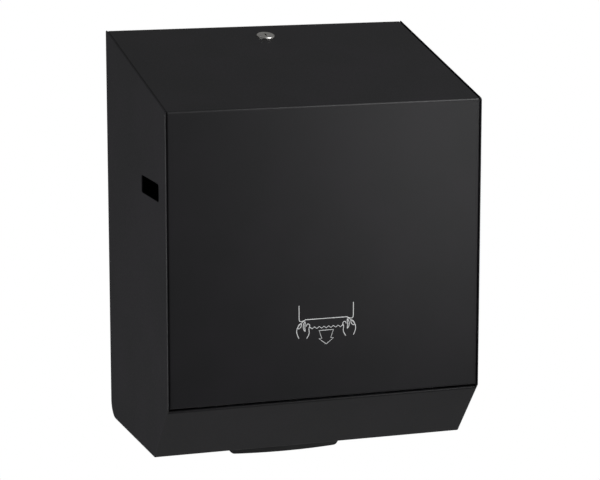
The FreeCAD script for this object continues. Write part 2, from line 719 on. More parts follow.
def lock_barrel():
    """Fixed outside of the lock: a flange on the door and a threaded body through it."""
    flange = rod_z(0, 0, 0, LOCK_FACE_THICKNESS, LOCK_FACE_RADIUS)
    rim = [edge for edge in flange.Edges if abs(edge.BoundBox.ZMin - LOCK_FACE_THICKNESS) < TOUCH]
    flange = flange.makeChamfer(LOCK_FACE_CHAMFER, rim)
    body = rod_z(0, 0, -LOCK_BODY_LENGTH, 0, LOCK_BODY_RADIUS)
    bore = rod_z(0, 0, -LOCK_BODY_LENGTH - PIERCE, LOCK_FACE_THICKNESS + PIERCE, LOCK_BORE)
    return on_door_top(flange.fuse(body).cut(bore).removeSplitter())


def lock_nut():
    """Hexagon nut that pulls the lock against the door from inside."""
    prism = Part.makePolygon(hexagon(LOCK_NUT_FLATS, -SHEET - LOCK_NUT_THICKNESS))
    nut = Part.Face(prism).extrude(vec(0, 0, LOCK_NUT_THICKNESS))
    return on_door_top(nut.cut(rod_z(0, 0, -LOCK_BODY_LENGTH, PIERCE, LOCK_BODY_RADIUS)))


def hexagon(flats, z):
    """Corners of a hexagon round the Z axis, given across its flats, with the first one repeated."""
    radius = flats / math.sqrt(3)
    corners = []
    for index in range(7):
        y, x = polar(0, 0, radius, 60 * index)
        corners.append(vec(x, y, z))
    return corners


def lock_plug():
    """Turning core of the lock, with its keyhole, its shoulder and the square for the cam."""
    plug = rod_z(0, 0, -LOCK_BODY_LENGTH - LOCK_FIT, LOCK_FACE_THICKNESS, LOCK_BORE - LOCK_FIT)
    plug = plug.fuse(rod_z(0, 0, -LOCK_SHOULDER_END, -LOCK_BODY_LENGTH - LOCK_FIT, LOCK_SHOULDER_RADIUS))
    half = LOCK_SQUARE / 2
    tail_end = -LOCK_SHOULDER_END - LOCK_CAM_THICKNESS
    plug = plug.fuse(block(-half, half, -half, half, tail_end, -LOCK_SHOULDER_END))
    keyhole = block(
        -KEYHOLE_WIDTH / 2,
        KEYHOLE_WIDTH / 2,
        -KEYHOLE_LENGTH / 2,
        KEYHOLE_LENGTH / 2,
        LOCK_FACE_THICKNESS - KEYHOLE_DEPTH,
        LOCK_FACE_THICKNESS + PIERCE,
    )
    thread = rod_z(0, 0, tail_end - PIERCE, tail_end + CAM_SCREW_DEPTH, CAM_SCREW_RADIUS)
    return on_door_top(plug.cut([keyhole, thread]).removeSplitter())


def lock_cam():
    """Flat tongue that swings under the catch."""
    low = -LOCK_SHOULDER_END - LOCK_CAM_THICKNESS
    half = LOCK_CAM_WIDTH / 2
    cam = rod_z(0, 0, low, -LOCK_SHOULDER_END, half)
    cam = cam.fuse(block(0, LOCK_CAM_LENGTH, -half, half, low, -LOCK_SHOULDER_END)).removeSplitter()
    square = LOCK_SQUARE / 2
    return on_door_top(cam.cut(block(-square, square, -square, square, low, -LOCK_SHOULDER_END)))


def cam_screw():
    low = -LOCK_SHOULDER_END - LOCK_CAM_THICKNESS
    head = rod_z(0, 0, low - CAM_SCREW_HEAD_HEIGHT, low, CAM_SCREW_HEAD)
    shank = rod_z(0, 0, low - PIERCE, low + CAM_SCREW_DEPTH - PIERCE, CAM_SCREW_RADIUS)
    return on_door_top(head.fuse(shank).removeSplitter())


# Feed unit


def frame_corners():
    """Side view of a frame plate, from its lower rear corner round the front."""
    front = DRUM_Y - FRONT_ROD_REACH - FRAME_PAST_ROD
    shoulder = DRUM_Y - GUIDE_RADIUS + FRAME_SHOULDER_IN
    top = DRUM_HEIGHT + GUIDE_RADIUS + FRAME_OVER_GUIDE
    places = [
        (-SHEET, FRAME_BOTTOM),
        (shoulder, FRAME_BOTTOM),
        (front, DRUM_HEIGHT - FRAME_FRONT_BELOW),
        (front, DRUM_HEIGHT + FRAME_FRONT_ABOVE),
        (shoulder, top),
        (-SHEET, top),
    ]
    return [place + (radius,) for place, radius in zip(places, FRAME_ROUNDS)]


def tie_rod_places():
    """Centres of the three rods that hold the frame plates apart."""
    return [
        (DRUM_Y - FRONT_ROD_REACH, DRUM_HEIGHT - FRONT_ROD_DROP),
        (-REAR_ROD_FROM_WALL, DRUM_HEIGHT + REAR_ROD_ABOVE),
        (-REAR_ROD_FROM_WALL, DRUM_HEIGHT - REAR_ROD_BELOW),
    ]


def rear_plate():
    """Plate across the back of the feed unit, screwed to the cabinet."""
    shape = block(-FRAME_X, FRAME_X, -SHEET - REAR_PLATE, -SHEET, REAR_PLATE_LOW, REAR_PLATE_HIGH)
    cuts = []
    for side in SIDES:
        for height in (UNIT_SCREW_LOW, UNIT_SCREW_HIGH):
            x = side * (FRAME_X - UNIT_SCREW_INSET)
            cuts.append(rod_y(x, -SHEET - REAR_PLATE - PIERCE, PIERCE, height, SCREW_RADIUS))
    low = REAR_PLATE_LOW + REAR_WINDOW_RIM
    high = REAR_PLATE_HIGH - REAR_WINDOW_RIM
    for side in SIDES:
        inner = side * REAR_WINDOW_INNER
        outer = side * REAR_WINDOW_OUTER
        cuts.append(block(inner, outer, -SHEET - REAR_PLATE - PIERCE, PIERCE, low, high))
    return shape.cut(cuts)


def side_frame(side):
    """Moulded frame plate with a stiffening rim and the holes for everything that turns in it."""
    near = side * FRAME_X
    web_face = side * (FRAME_X + FRAME_WEB)
    far = side * FRAME_OUT
    low = min(near, far)
    face = Part.Face(outline(frame_corners(), low))
    inset = face.makeOffset2D(-FRAME_RIM)
    whole = face.extrude(vec(abs(far - near), 0, 0))
    core = inset.extrude(vec(abs(far - near), 0, 0))
    recess = core.common(block(web_face, far, -DEPTH, 0, 0, BACK_HEIGHT))
    past = far + side * PIERCE
    before = near - side * PIERCE
    cuts = [recess]
    cuts.append(rod(before, past, DRUM_Y, DRUM_HEIGHT, BUSH_RADIUS))
    cuts.append(rod(before, past, LEVER_Y, LEVER_HEIGHT, LEVER_SHAFT_RADIUS + RUNNING_FIT))
    cuts.append(pinch_slot(before, past))
    for y, z in tie_rod_places():
        cuts.append(rod(before, past, y, z, TIE_SCREW_RADIUS))
    return whole.cut(cuts)


def pinch_slot(x0, x1):
    """Slot in which a bearing block of the pinch roller slides, with room for its spring."""
    half = BLOCK_HALF_WIDTH + BLOCK_PLAY
    end = BLOCK_HALF_LENGTH + PINCH_SPRING_LENGTH
    slot = block(x0, x1, -BLOCK_HALF_LENGTH - BLOCK_PLAY, end, -half, half)
    return turned(slot, PINCH_ANGLE, PINCH_Y, PINCH_HEIGHT)


def tie_rods():
    rods = []
    for y, z in tie_rod_places():
        bar = rod(-FRAME_X, FRAME_X, y, z, TIE_ROD_RADIUS)
        ends = []
        for side in SIDES:
            bore_end = side * (FRAME_X - TIE_SCREW_DEPTH)
            ends.append(rod(bore_end, side * (FRAME_X + PIERCE), y, z, TIE_SCREW_RADIUS))
        rods.append(bar.cut(ends))
    return Part.makeCompound(rods)


def tie_rod_screws():
    screws = []
    seat = FRAME_X + FRAME_WEB
    for y, z in tie_rod_places():
        for side in SIDES:
            top = vec(side * (seat + TIE_SCREW_HEAD_HEIGHT), y, z)
            tip = vec(side * (FRAME_X - TIE_SCREW_DEPTH + PIERCE), y, z)
            screws.append(screw(top, tip, (TIE_SCREW_HEAD_HEIGHT, TIE_SCREW_HEAD), TIE_SCREW_RADIUS))
    return Part.makeCompound(screws)


def unit_screws():
    screws = []
    for side in SIDES:
        for height in (UNIT_SCREW_LOW, UNIT_SCREW_HIGH):
            x = side * (FRAME_X - UNIT_SCREW_INSET)
            screws.append(wall_screw(x, height, -SHEET - REAR_PLATE, 0))
    return Part.makeCompound(screws)


def front_guide():
    """Curved wall that leads the paper over the front of the drum and down to the outlet."""
    front = DRUM_Y - GUIDE_RADIUS
    path = [
        (DRUM_Y + GUIDE_REAR_REACH, DRUM_HEIGHT + GUIDE_RADIUS),
        (front, DRUM_HEIGHT + GUIDE_RADIUS, GUIDE_RADIUS),
        (front, DRUM_HEIGHT - GUIDE_STRAIGHT_DROP),
        (front + GUIDE_FOOT_IN, GUIDE_FOOT),
    ]
    return folded_sheet(path, GUIDE_THICKNESS, -FRAME_X, FRAME_X)


def stripper_comb():
    """Rear wall of the outlet, with fingers that lift the paper off the drum."""
    top = polar(DRUM_Y, DRUM_HEIGHT, GRIP_RADIUS + COMB_DRUM_GAP, COMB_TOP_ANGLE)
    path = [
        (DRUM_Y + COMB_REAR, COMB_FOOT),
        (DRUM_Y + COMB_FRONT, COMB_FOOT, COMB_BEND),
        top,
    ]
    comb = folded_sheet(path, COMB_THICKNESS, -FRAME_X, FRAME_X)
    finger = [(top[0] + y, top[1] + z) for y, z in COMB_FINGER]
    for place in comb_finger_places():
        comb = comb.fuse(plate(finger, place - COMB_FINGER_WIDTH / 2, place + COMB_FINGER_WIDTH / 2))
    return comb.removeSplitter()


def comb_finger_places():
    """Four places to each pitch of the grip bands, without the one that faces a band."""
    steps = range(-COMB_FINGER_ENDS, COMB_FINGER_ENDS + 1)
    return [step * GRIP_PITCH / 4 for step in steps if step % 4 != 2]


def drum_bushes():
    """Flanged plain bearings in the frame plates."""
    bushes = []
    for side in SIDES:
        sleeve_end = side * (FRAME_X - BUSH_FLANGE + BUSH_LENGTH)
        sleeve = rod(side * FRAME_X, sleeve_end, DRUM_Y, DRUM_HEIGHT, BUSH_RADIUS)
        flange = rod(side * (FRAME_X - BUSH_FLANGE), side * FRAME_X, DRUM_Y, DRUM_HEIGHT, BUSH_FLANGE_RADIUS)
        bore = rod(side * CAP_OUT, side * HALF, DRUM_Y, DRUM_HEIGHT, DRUM_SHAFT_RADIUS + RUNNING_FIT)
        bushes.append(sleeve.fuse(flange).cut(bore).removeSplitter())
    return Part.makeCompound(bushes)


def cam_discs():
    """Fixed cams on the frame plates; their nose pushes the knife out as the drum goes past."""
    cams = []
    nose = polar(DRUM_Y, DRUM_HEIGHT, CAM_NOSE_AT, CUT_ANGLE) + (CAM_NOSE_RADIUS,)
    for side in SIDES:
        near = side * (FRAME_X - CAM_THICKNESS)
        far = side * FRAME_X
        cam = link_plate((DRUM_Y, DRUM_HEIGHT, CAM_ROUND_RADIUS), nose, near, far)
        cams.append(cam.cut(rod(near, far, DRUM_Y, DRUM_HEIGHT, BUSH_FLANGE_RADIUS + BUSH_CAM_GAP)))
    return Part.makeCompound(cams)


def spring_posts():
    """Posts on the outside of the frame plates for the crank spring and the lever spring."""
    start = FRAME_X + FRAME_WEB
    crank_end = FRAME_X + CRANK_NEAR + CRANK_PIN_LENGTH
    crank_post = rod(start, crank_end, SPRING_POST_Y, SPRING_POST_HEIGHT, POST_RADIUS)
    lever_end = FRAME_X + RETURN_ARM_NEAR + RETURN_ARM_THICKNESS + RETURN_PEG_LENGTH
    lever_post = rod(-start, -lever_end, RETURN_POST_Y, RETURN_POST_HEIGHT, POST_RADIUS)
    return Part.makeCompound([crank_post, lever_post])


# Drum


def drum_shell(half):
    """One half of the drum's skin, with screw bosses at its ends and half of the knife slot."""
    shell = ring(-CAP_IN, CAP_IN, 0, 0, DRUM_RADIUS, DRUM_RADIUS - DRUM_WALL)
    for side in SIDES:
        boss = rod(side * (CAP_IN - BOSS_LENGTH), side * CAP_IN, 0, half * BOSS_OFFSET, BOSS_RADIUS)
        shell = shell.fuse(boss)
    bores = []
    for side in SIDES:
        start = side * (CAP_IN - DRUM_SCREW_DEPTH)
        bores.append(rod(start, side * (CAP_IN + PIERCE), 0, half * BOSS_OFFSET, DRUM_SCREW_RADIUS))
    low, high = sorted((0, half * DRUM_RADIUS))
    keep = block(-HALF, HALF, -DRUM_RADIUS, DRUM_RADIUS, low, high)
    slot_x = BLADE_HALF + BLADE_SIDE_GAP
    slot = block(-slot_x, slot_x, 0, DRUM_RADIUS + PIERCE, -SLOT_HALF, SLOT_HALF)
    return on_drum(shell.common(keep).cut(bores + [slot]).removeSplitter())


def grip_bands():
    """Rubber bands bonded round the drum, each in two halves so that the knife slot stays free."""
    bands = []
    far = GRIP_RADIUS + PIERCE
    for place in GRIP_PLACES:
        low = place - GRIP_WIDTH / 2
        high = low + GRIP_WIDTH
        band = ring(low, high, 0, 0, GRIP_RADIUS, DRUM_RADIUS)
        slot = block(low - PIERCE, high + PIERCE, 0, far, -SLOT_HALF, SLOT_HALF)
        parting = block(low - PIERCE, high + PIERCE, -far, 0, -GRIP_PARTING / 2, GRIP_PARTING / 2)
        bands.extend(band.cut([slot, parting]).Solids)
    return on_drum(Part.makeCompound(bands))


def drum_end_caps():
    """Discs that close the drum, each with a hub and the radial slot of the knife carrier."""
    caps = []
    for side in SIDES:
        disc = rod(side * CAP_IN, side * CAP_OUT, 0, 0, DRUM_RADIUS)
        hub = rod(side * CARRIER_HALF, side * (FRAME_X - CAP_HUB_OUTER_GAP), 0, 0, CAP_HUB_RADIUS)
        slot_back = SLIDER_BACK - SLIDER_PLAY
        slot_end = SLIDER_FRONT + KNIFE_TRAVEL + SLIDER_PLAY
        slot_half = SLOT_HALF + RUNNING_FIT
        slot = block(side * CARRIER_HALF, side * FRAME_X, slot_back, slot_end, -slot_half, slot_half)
        cuts = [slot, rod(side * CARRIER_HALF, side * FRAME_X, 0, 0, DRUM_SHAFT_RADIUS + SEAT_FIT)]
        for half in SIDES:
            cuts.append(rod(side * CAP_IN, side * CAP_OUT, 0, half * BOSS_OFFSET, DRUM_SCREW_RADIUS))
        caps.append(disc.fuse(hub).cut(cuts).removeSplitter())
    return on_drum(Part.makeCompound(caps))


def drum_screws():
    """Screws through the end caps into the bosses of the two half shells."""
    screws = []
    for side in SIDES:
        for half in SIDES:
            top = vec(side * (CAP_OUT + DRUM_SCREW_HEAD_HEIGHT), 0, half * BOSS_OFFSET)
            tip = vec(side * (CAP_IN - DRUM_SCREW_DEPTH + PIERCE), 0, half * BOSS_OFFSET)
            screws.append(screw(top, tip, (DRUM_SCREW_HEAD_HEIGHT, DRUM_SCREW_HEAD), DRUM_SCREW_RADIUS))
    return on_drum(Part.makeCompound(screws))


def drum_shafts():
    """Stub shafts: the left one ends in the hand wheel and the right one in the crank."""
    wheel_end = FRAME_X + WHEEL_NEAR + WHEEL_THICKNESS
    crank_end = FRAME_X + CRANK_NEAR + CRANK_THICKNESS + PIERCE
    left = rod(-CARRIER_HALF, -wheel_end, DRUM_Y, DRUM_HEIGHT, DRUM_SHAFT_RADIUS)
    right = rod(CARRIER_HALF, crank_end, DRUM_Y, DRUM_HEIGHT, DRUM_SHAFT_RADIUS)
    return Part.makeCompound([left, right])


def crank_arm():
    near = FRAME_X + CRANK_NEAR
    far = near + CRANK_THICKNESS
    tip = (CRANK_PIN_Y, CRANK_PIN_HEIGHT, CRANK_TIP_RADIUS)
    arm = link_plate((DRUM_Y, DRUM_HEIGHT, CRANK_HUB_RADIUS), tip, near, far)
    shaft_bore = rod(near, far, DRUM_Y, DRUM_HEIGHT, DRUM_SHAFT_RADIUS + SEAT_FIT)
    return arm.cut([shaft_bore, rod(near, far, CRANK_PIN_Y, CRANK_PIN_HEIGHT, CRANK_PIN_RADIUS)])


def crank_pin():
    start = FRAME_X + CRANK_NEAR
    end = start + CRANK_PIN_LENGTH
    pin = rod(start, end, CRANK_PIN_Y, CRANK_PIN_HEIGHT, CRANK_PIN_RADIUS)
    head = rod(end - CRANK_PIN_HEAD_HEIGHT, end, CRANK_PIN_Y, CRANK_PIN_HEIGHT, CRANK_PIN_HEAD)
    return pin.fuse(head).removeSplitter()


def hand_wheel():
    """Scalloped wheel on the end of the drum shaft, to thread the paper by hand."""
    near = -(FRAME_X + WHEEL_NEAR)
    far = near - WHEEL_THICKNESS
    wheel = rod(near, far, 0, 0, WHEEL_RADIUS)
    cuts = [rod(near, far, 0, 0, DRUM_SHAFT_RADIUS + SEAT_FIT)]
    pocket_floor = far + WHEEL_POCKET_DEPTH
    cuts.append(ring(pocket_floor, far, 0, 0, WHEEL_POCKET_OUTER, WHEEL_POCKET_INNER))
    for index in range(WHEEL_SCALLOPS):
        y, z = polar(0, 0, WHEEL_RADIUS + WHEEL_SCALLOP_RADIUS / 2, index * 360 / WHEEL_SCALLOPS)
        cuts.append(rod(near, far, y, z, WHEEL_SCALLOP_RADIUS))
    return on_drum(wheel.cut(cuts))


# Knife


def knife_carrier():
    """Stepped bar that slides in the drum and holds the blade."""
    corners = [
        (CARRIER_BACK, -CARRIER_HALF_HEIGHT),
        (CARRIER_STEP, -CARRIER_HALF_HEIGHT),
        (CARRIER_STEP, BLADE_THICKNESS / 2),
        (CARRIER_FRONT, BLADE_THICKNESS / 2),
        (CARRIER_FRONT, CARRIER_HALF_HEIGHT),
        (CARRIER_BACK, CARRIER_HALF_HEIGHT),
    ]
    carrier = plate(corners, -CARRIER_HALF, CARRIER_HALF)
    return on_drum(carrier.cut(knife_screw_bores()))


def knife_screw_bores():
    bores = []
    s = (BLADE_BACK + CARRIER_FRONT) / 2
    for x in (-KNIFE_SCREW_X, 0, KNIFE_SCREW_X):
        bores.append(rod_z(x, s, -CARRIER_HALF_HEIGHT, CARRIER_HALF_HEIGHT, KNIFE_SCREW_RADIUS))
    return bores


def knife_blade():
    """Toothed blade that punches through the stretched paper."""
    teeth = int(2 * BLADE_HALF / TOOTH_PITCH)
    pitch = 2 * BLADE_HALF / teeth
    points = [vec(-BLADE_HALF, BLADE_BACK, 0), vec(-BLADE_HALF, BLADE_TIP - TOOTH_HEIGHT, 0)]
    for index in range(teeth):
        points.append(vec(-BLADE_HALF + (index + 0.5) * pitch, BLADE_TIP, 0))
        points.append(vec(-BLADE_HALF + (index + 1) * pitch, BLADE_TIP - TOOTH_HEIGHT, 0))
    points += [vec(BLADE_HALF, BLADE_BACK, 0), points[0]]
    blade = Part.Face(Part.makePolygon(points)).extrude(vec(0, 0, BLADE_THICKNESS))
    blade.translate(vec(0, 0, -BLADE_THICKNESS / 2))
    return on_drum(blade.cut(knife_screw_bores()))


def knife_screws():
    screws = []
    s = (BLADE_BACK + CARRIER_FRONT) / 2
    seat = -BLADE_THICKNESS / 2
    for x in (-KNIFE_SCREW_X, 0, KNIFE_SCREW_X):
        top = vec(x, s, seat - KNIFE_SCREW_HEAD_HEIGHT)
        tip = vec(x, s, CARRIER_HALF_HEIGHT)
        screws.append(screw(top, tip, (KNIFE_SCREW_HEAD_HEIGHT, KNIFE_SCREW_HEAD), KNIFE_SCREW_RADIUS))
    return on_drum(Part.makeCompound(screws))


def cam_followers():
    """Slide blocks on the carrier's ends, each with the stud that runs round the fixed cam."""
    followers = []
    for side in SIDES:
        inner = side * CARRIER_HALF
        outer = side * (CAP_OUT + FOLLOWER_STEP)
        slider = block(inner, outer, SLIDER_BACK, SLIDER_FRONT, -SLOT_HALF, SLOT_HALF)
        stud_end = side * (FRAME_X - CAM_THICKNESS - FOLLOWER_CAM_GAP)
        stud = rod(outer, stud_end, FOLLOWER_AT, 0, FOLLOWER_RADIUS)
        followers.append(slider.fuse(stud).removeSplitter())
    return on_drum(Part.makeCompound(followers))


# Pinch roller


def pinch_place(shape):
    """A piece drawn with +Y away from the drum, put in its place at the pinch roller's axis."""
    return turned(shape, PINCH_ANGLE, PINCH_Y, PINCH_HEIGHT)


def pinch_blocks():
    """Bearing blocks that slide in the frame's slots, kept in by a flange on each face."""
    blocks = []
    lip = BLOCK_HALF_WIDTH + BLOCK_LIP
    reach = BLOCK_HALF_LENGTH + BLOCK_LIP
    inner = FRAME_X - BLOCK_PLAY
    outer = FRAME_X + FRAME_WEB + BLOCK_PLAY
    top = BLOCK_HALF_LENGTH
    for side in SIDES:
        core = block(side * inner, side * outer, -top, top, -BLOCK_HALF_WIDTH, BLOCK_HALF_WIDTH)
        near = block(side * (inner - BLOCK_FLANGE), side * inner, -reach, top, -lip, lip)
        far = block(side * outer, side * (outer + BLOCK_FLANGE), -reach, top, -lip, lip)
        bore = rod(side * CAP_OUT, side * HALF, 0, 0, PINCH_SHAFT_RADIUS + RUNNING_FIT)
        blocks.append(core.fuse([near, far]).cut(bore).removeSplitter())
    return pinch_place(Part.makeCompound(blocks))


def pinch_shaft():
    end = FRAME_X + FRAME_WEB + PIERCE
    return rod(-end, end, PINCH_Y, PINCH_HEIGHT, PINCH_SHAFT_RADIUS)


def pinch_sleeves():
    """Rubber sleeves of the pinch roller, one over each grip band."""
    sleeves = []
    for place in GRIP_PLACES:
        low = place - PINCH_SLEEVE_HALF
        high = place + PINCH_SLEEVE_HALF
        sleeves.append(ring(low, high, PINCH_Y, PINCH_HEIGHT, PINCH_RADIUS, PINCH_SHAFT_RADIUS))
    return Part.makeCompound(sleeves)


def pinch_springs():
    springs = []
    middle = FRAME_X + FRAME_WEB / 2
    for side in SIDES:
        start = vec(side * middle, BLOCK_HALF_LENGTH, 0)
        springs.append(Part.makeCylinder(PINCH_SPRING_RADIUS, PINCH_SPRING_LENGTH, start, vec(0, 1, 0)))
    return pinch_place(Part.makeCompound(springs))


# Gears


def involute(angle):
    return math.tan(angle) - angle


def gear_tooth(teeth, centre, x0, x1):
    """One involute tooth round the X axis, its middle at the given angle and its foot in the body."""
    pitch = teeth * MODULE / 2
    base = pitch * math.cos(PRESSURE_ANGLE)
    foot = pitch - 1.25 * MODULE
    tip = pitch + MODULE
    middle_half = (math.pi * MODULE / 2 - BACKLASH) / (2 * pitch)

    def flank(radius, side):
        pressure = math.acos(min(base / radius, 1))
        half = middle_half + involute(PRESSURE_ANGLE) - involute(pressure)
        return vec(x0, *polar(0, 0, radius, centre + side * math.degrees(half)))

    low = max(foot, base)
    between = (low + tip) / 2
    right = [flank(radius, -1) for radius in (low, between, tip)]
    left = [flank(radius, 1) for radius in (tip, between, low)]
    top = vec(x0, *polar(0, 0, tip, centre))
    inner = (foot - MODULE / 2) / low
    right_root = vec(x0, right[0].y * inner, right[0].z * inner)
    left_root = vec(x0, left[2].y * inner, left[2].z * inner)
    curves = [
        Part.LineSegment(right_root, right[0]),
        Part.Arc(*right),
        Part.Arc(right[2], top, left[0]),
        Part.Arc(*left),
        Part.LineSegment(left[2], left_root),
        Part.LineSegment(left_root, right_root),
    ]
    face = Part.Face(Part.Wire([curve.toShape() for curve in curves]))
    return face.extrude(vec(x1 - x0, 0, 0))


def clutch_pinion():
    """Pinion with a one-way clutch inside, free on the drum shaft when the lever swings back."""
    near = FRAME_X + GEAR_NEAR
    far = near + PINION_WIDTH
    step = 360 / PINION_TEETH
    teeth = []
    for index in range(PINION_TEETH):
        teeth.append(gear_tooth(PINION_TEETH, LEVER_ANGLE + 180 + (index + 0.5) * step, near, far))
    body = rod(near, far, 0, 0, PINION_PITCH - 1.25 * MODULE)
    pinion = body.fuse(teeth).cut(rod(near, far, 0, 0, DRUM_SHAFT_RADIUS + RUNNING_FIT))
    pinion.translate(vec(0, DRUM_Y, DRUM_HEIGHT))
    return pinion.removeSplitter()


def sector_gear():
    """Toothed sector on the lever shaft that drives the pinion."""
    near = FRAME_X + GEAR_NEAR + (PINION_WIDTH - SECTOR_WIDTH) / 2
    far = near + SECTOR_WIDTH
    step = 360 / SECTOR_TEETH
    root = SECTOR_PITCH - 1.25 * MODULE
    start = LEVER_ANGLE + (SECTOR_FIRST - 0.6) * step
    end = LEVER_ANGLE + (SECTOR_LAST + 0.6) * step
    rim = [vec(near, *polar(0, 0, root, angle)) for angle in (start, (start + end) / 2, end)]
    centre = vec(near, 0, 0)
    curves = [Part.LineSegment(centre, rim[0]), Part.Arc(*rim), Part.LineSegment(rim[2], centre)]
    web = Part.Face(Part.Wire([curve.toShape() for curve in curves])).extrude(vec(SECTOR_WIDTH, 0, 0))
    pieces = [rod(near, far, 0, 0, SECTOR_HUB_RADIUS)]
    for index in range(SECTOR_FIRST, SECTOR_LAST + 1):
        pieces.append(gear_tooth(SECTOR_TEETH, LEVER_ANGLE + index * step, near, far))
    sector = web.fuse(pieces).cut(rod(near, far, 0, 0, LEVER_SHAFT_RADIUS))
    sector.translate(vec(0, LEVER_Y, LEVER_HEIGHT))
    return sector.removeSplitter()


# Feed lever


def feed_lever():
    """Curved tongue under the outlet, with its hub and ribs; pushed back, it advances the paper."""
    half = LEVER_WIDTH / 2
    face = LEVER_Y + LEVER_FACE_OFFSET
    outline_corners = [
        (-half, -LEVER_HANG, LEVER_CORNER),
        (half, -LEVER_HANG, LEVER_CORNER),
        (half, LEVER_HEIGHT),
        (-half, LEVER_HEIGHT),
    ]
    silhouette = facing_plate(outline_corners, face, face + 2 * LEVER_CORNER)
    centre_y = face + LEVER_CURVE
    low = vec(0, centre_y, -LEVER_HANG)
    height = LEVER_HANG + LEVER_HEIGHT
    wall = Part.makeCylinder(LEVER_CURVE, height, low)
    wall = wall.cut(Part.makeCylinder(LEVER_CURVE - LEVER_THICKNESS, height, low))
    tongue = silhouette.common(wall)
    rib_back = face + LEVER_THICKNESS + LEVER_RIB_DEPTH
    rib = [
        (face + LEVER_THICKNESS / 2, LEVER_HEIGHT),
        (rib_back, LEVER_HEIGHT - LEVER_HUB_RADIUS),
        (face + LEVER_THICKNESS, -LEVER_HANG + LEVER_CORNER),
        (face + LEVER_THICKNESS / 2, -LEVER_HANG + LEVER_CORNER),
    ]
    pieces = [rod(-half, half, LEVER_Y, LEVER_HEIGHT, LEVER_HUB_RADIUS)]
    for place in LEVER_RIB_PLACES:
        setback = LEVER_CURVE - math.sqrt(LEVER_CURVE ** 2 - place ** 2)
        shape = plate(rib, place - LEVER_RIB_THICKNESS / 2, place + LEVER_RIB_THICKNESS / 2)
        shape.translate(vec(0, setback, 0))
        pieces.append(shape)
    lever = tongue.fuse(pieces).cut(rod(-half, half, LEVER_Y, LEVER_HEIGHT, LEVER_SHAFT_RADIUS))
    return lever.removeSplitter()


def lever_shaft():
    left = FRAME_X + RETURN_ARM_NEAR + RETURN_ARM_THICKNESS
    right = FRAME_X + GEAR_NEAR + PINION_WIDTH
    return rod(-left, right, LEVER_Y, LEVER_HEIGHT, LEVER_SHAFT_RADIUS)


def return_arm_tip():
    return LEVER_Y + RETURN_ARM_TIP[0], LEVER_HEIGHT + RETURN_ARM_TIP[1]


def lever_return_arm():
    """Arm on the left end of the lever shaft, with the peg that the return spring pulls."""
    near = -(FRAME_X + RETURN_ARM_NEAR)
    far = near - RETURN_ARM_THICKNESS
    tip_y, tip_z = return_arm_tip()
    hub = (LEVER_Y, LEVER_HEIGHT, SECTOR_HUB_RADIUS)
    arm = link_plate(hub, (tip_y, tip_z, RETURN_ARM_TIP_RADIUS), near, far)
    peg = rod(near - PIERCE, far - RETURN_PEG_LENGTH, tip_y, tip_z, RETURN_PEG_RADIUS)
    bore = rod(near, far, LEVER_Y, LEVER_HEIGHT, LEVER_SHAFT_RADIUS)
    return arm.fuse(peg).cut(bore).removeSplitter()


# Springs


def extension_spring(first, second, x, coil_radius):
    """Coil between two posts (y, z, radius), drawn as a bar with a flat loop round each post."""
    away = math.atan2(second[1] - first[1], second[0] - first[0])
    along = vec(0, math.cos(away), math.sin(away))
    near = x - SPRING_LOOP / 2
    far = x + SPRING_LOOP / 2
    pieces = []
    for post in (first, second):
        inner = post[2] + SPRING_LOOP_GAP
        pieces.append(ring(near, far, post[0], post[1], inner + SPRING_LOOP, inner))
    start = first[2] + SPRING_LOOP_GAP + SPRING_LOOP / 2
    length = math.hypot(second[0] - first[0], second[1] - first[1])
    end = length - second[2] - SPRING_LOOP_GAP - SPRING_LOOP / 2
    base = vec(x, first[0], first[1]) + along * start
    hook = Part.makeCylinder(SPRING_LOOP / 2, end - start, base, along)
    shoulder = 2 * SPRING_LOOP
    coil = Part.makeCylinder(coil_radius, end - start - 2 * shoulder, base + along * shoulder, along)
    return coil.fuse([hook] + pieces).removeSplitter()


def crank_spring():
    """Spring that turns the drum on after each cut and back to its rest."""
    x = FRAME_X + CRANK_NEAR + (CRANK_THICKNESS + CRANK_PIN_LENGTH - CRANK_PIN_HEAD_HEIGHT) / 2
    pin = (CRANK_PIN_Y, CRANK_PIN_HEIGHT, CRANK_PIN_RADIUS)
    post = (SPRING_POST_Y, SPRING_POST_HEIGHT, POST_RADIUS)
    return extension_spring(pin, post, x, CRANK_COIL_RADIUS)


def lever_spring():
    """Spring that brings the feed lever back."""
    x = -(FRAME_X + RETURN_ARM_NEAR + RETURN_ARM_THICKNESS + RETURN_PEG_LENGTH / 2)
    post = (RETURN_POST_Y, RETURN_POST_HEIGHT, POST_RADIUS)
    return extension_spring(return_arm_tip() + (RETURN_PEG_RADIUS,), post, x, RETURN_COIL_RADIUS / 2)


def knife_springs():
    """Springs inside the drum that pull the knife carrier back in."""
    springs = []
    back = -(DRUM_RADIUS - DRUM_WALL)
    for side in SIDES:
        start = vec(side * KNIFE_SPRING_X, back, 0)
        springs.append(Part.makeCylinder(KNIFE_COIL_RADIUS, CARRIER_BACK - back, start, vec(0, 1, 0)))
    return on_drum(Part.makeCompound(springs))


# Roll holder


